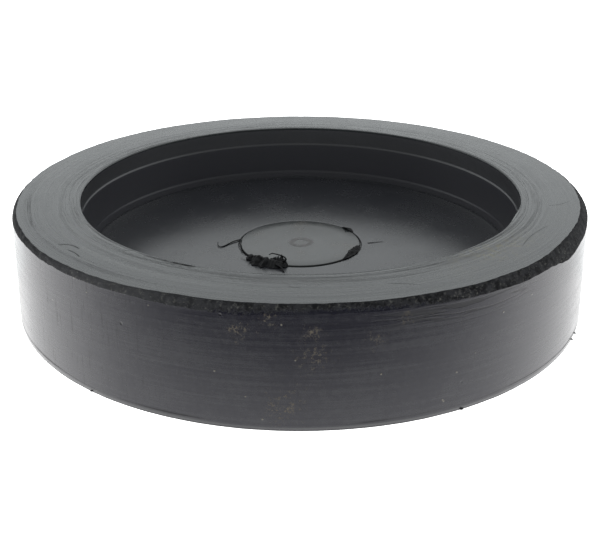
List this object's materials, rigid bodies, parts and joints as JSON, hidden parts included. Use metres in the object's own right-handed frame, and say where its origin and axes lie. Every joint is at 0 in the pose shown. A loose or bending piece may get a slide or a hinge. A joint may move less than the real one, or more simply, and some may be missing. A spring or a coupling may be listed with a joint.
{
  "type": "sink plunger head",
  "caption": "Low round rubber plunger cup with a wide flat rim, a stepped recess and a moulded-in metal fitting that takes the stud of a handle.",
  "frame": {"origin": "centre of the flat back face, which the part stands on", "axes": "+Z along the axis of the cup, from the back face to the open side; X and Y are equal across the cup"},
  "size_m": [0.1016, 0.1016, 0.0191],
  "materials": {
    "rubber": "black moulded rubber with a ground edge",
    "plate": "steel with a dark satin coat of bonding agent",
    "nut": "plain steel"
  },
  "bodies": {
    "root": {"rubber_cup": "rubber", "insert_plate": "plate", "insert_nut": "nut"}
  },
  "joints": []
}
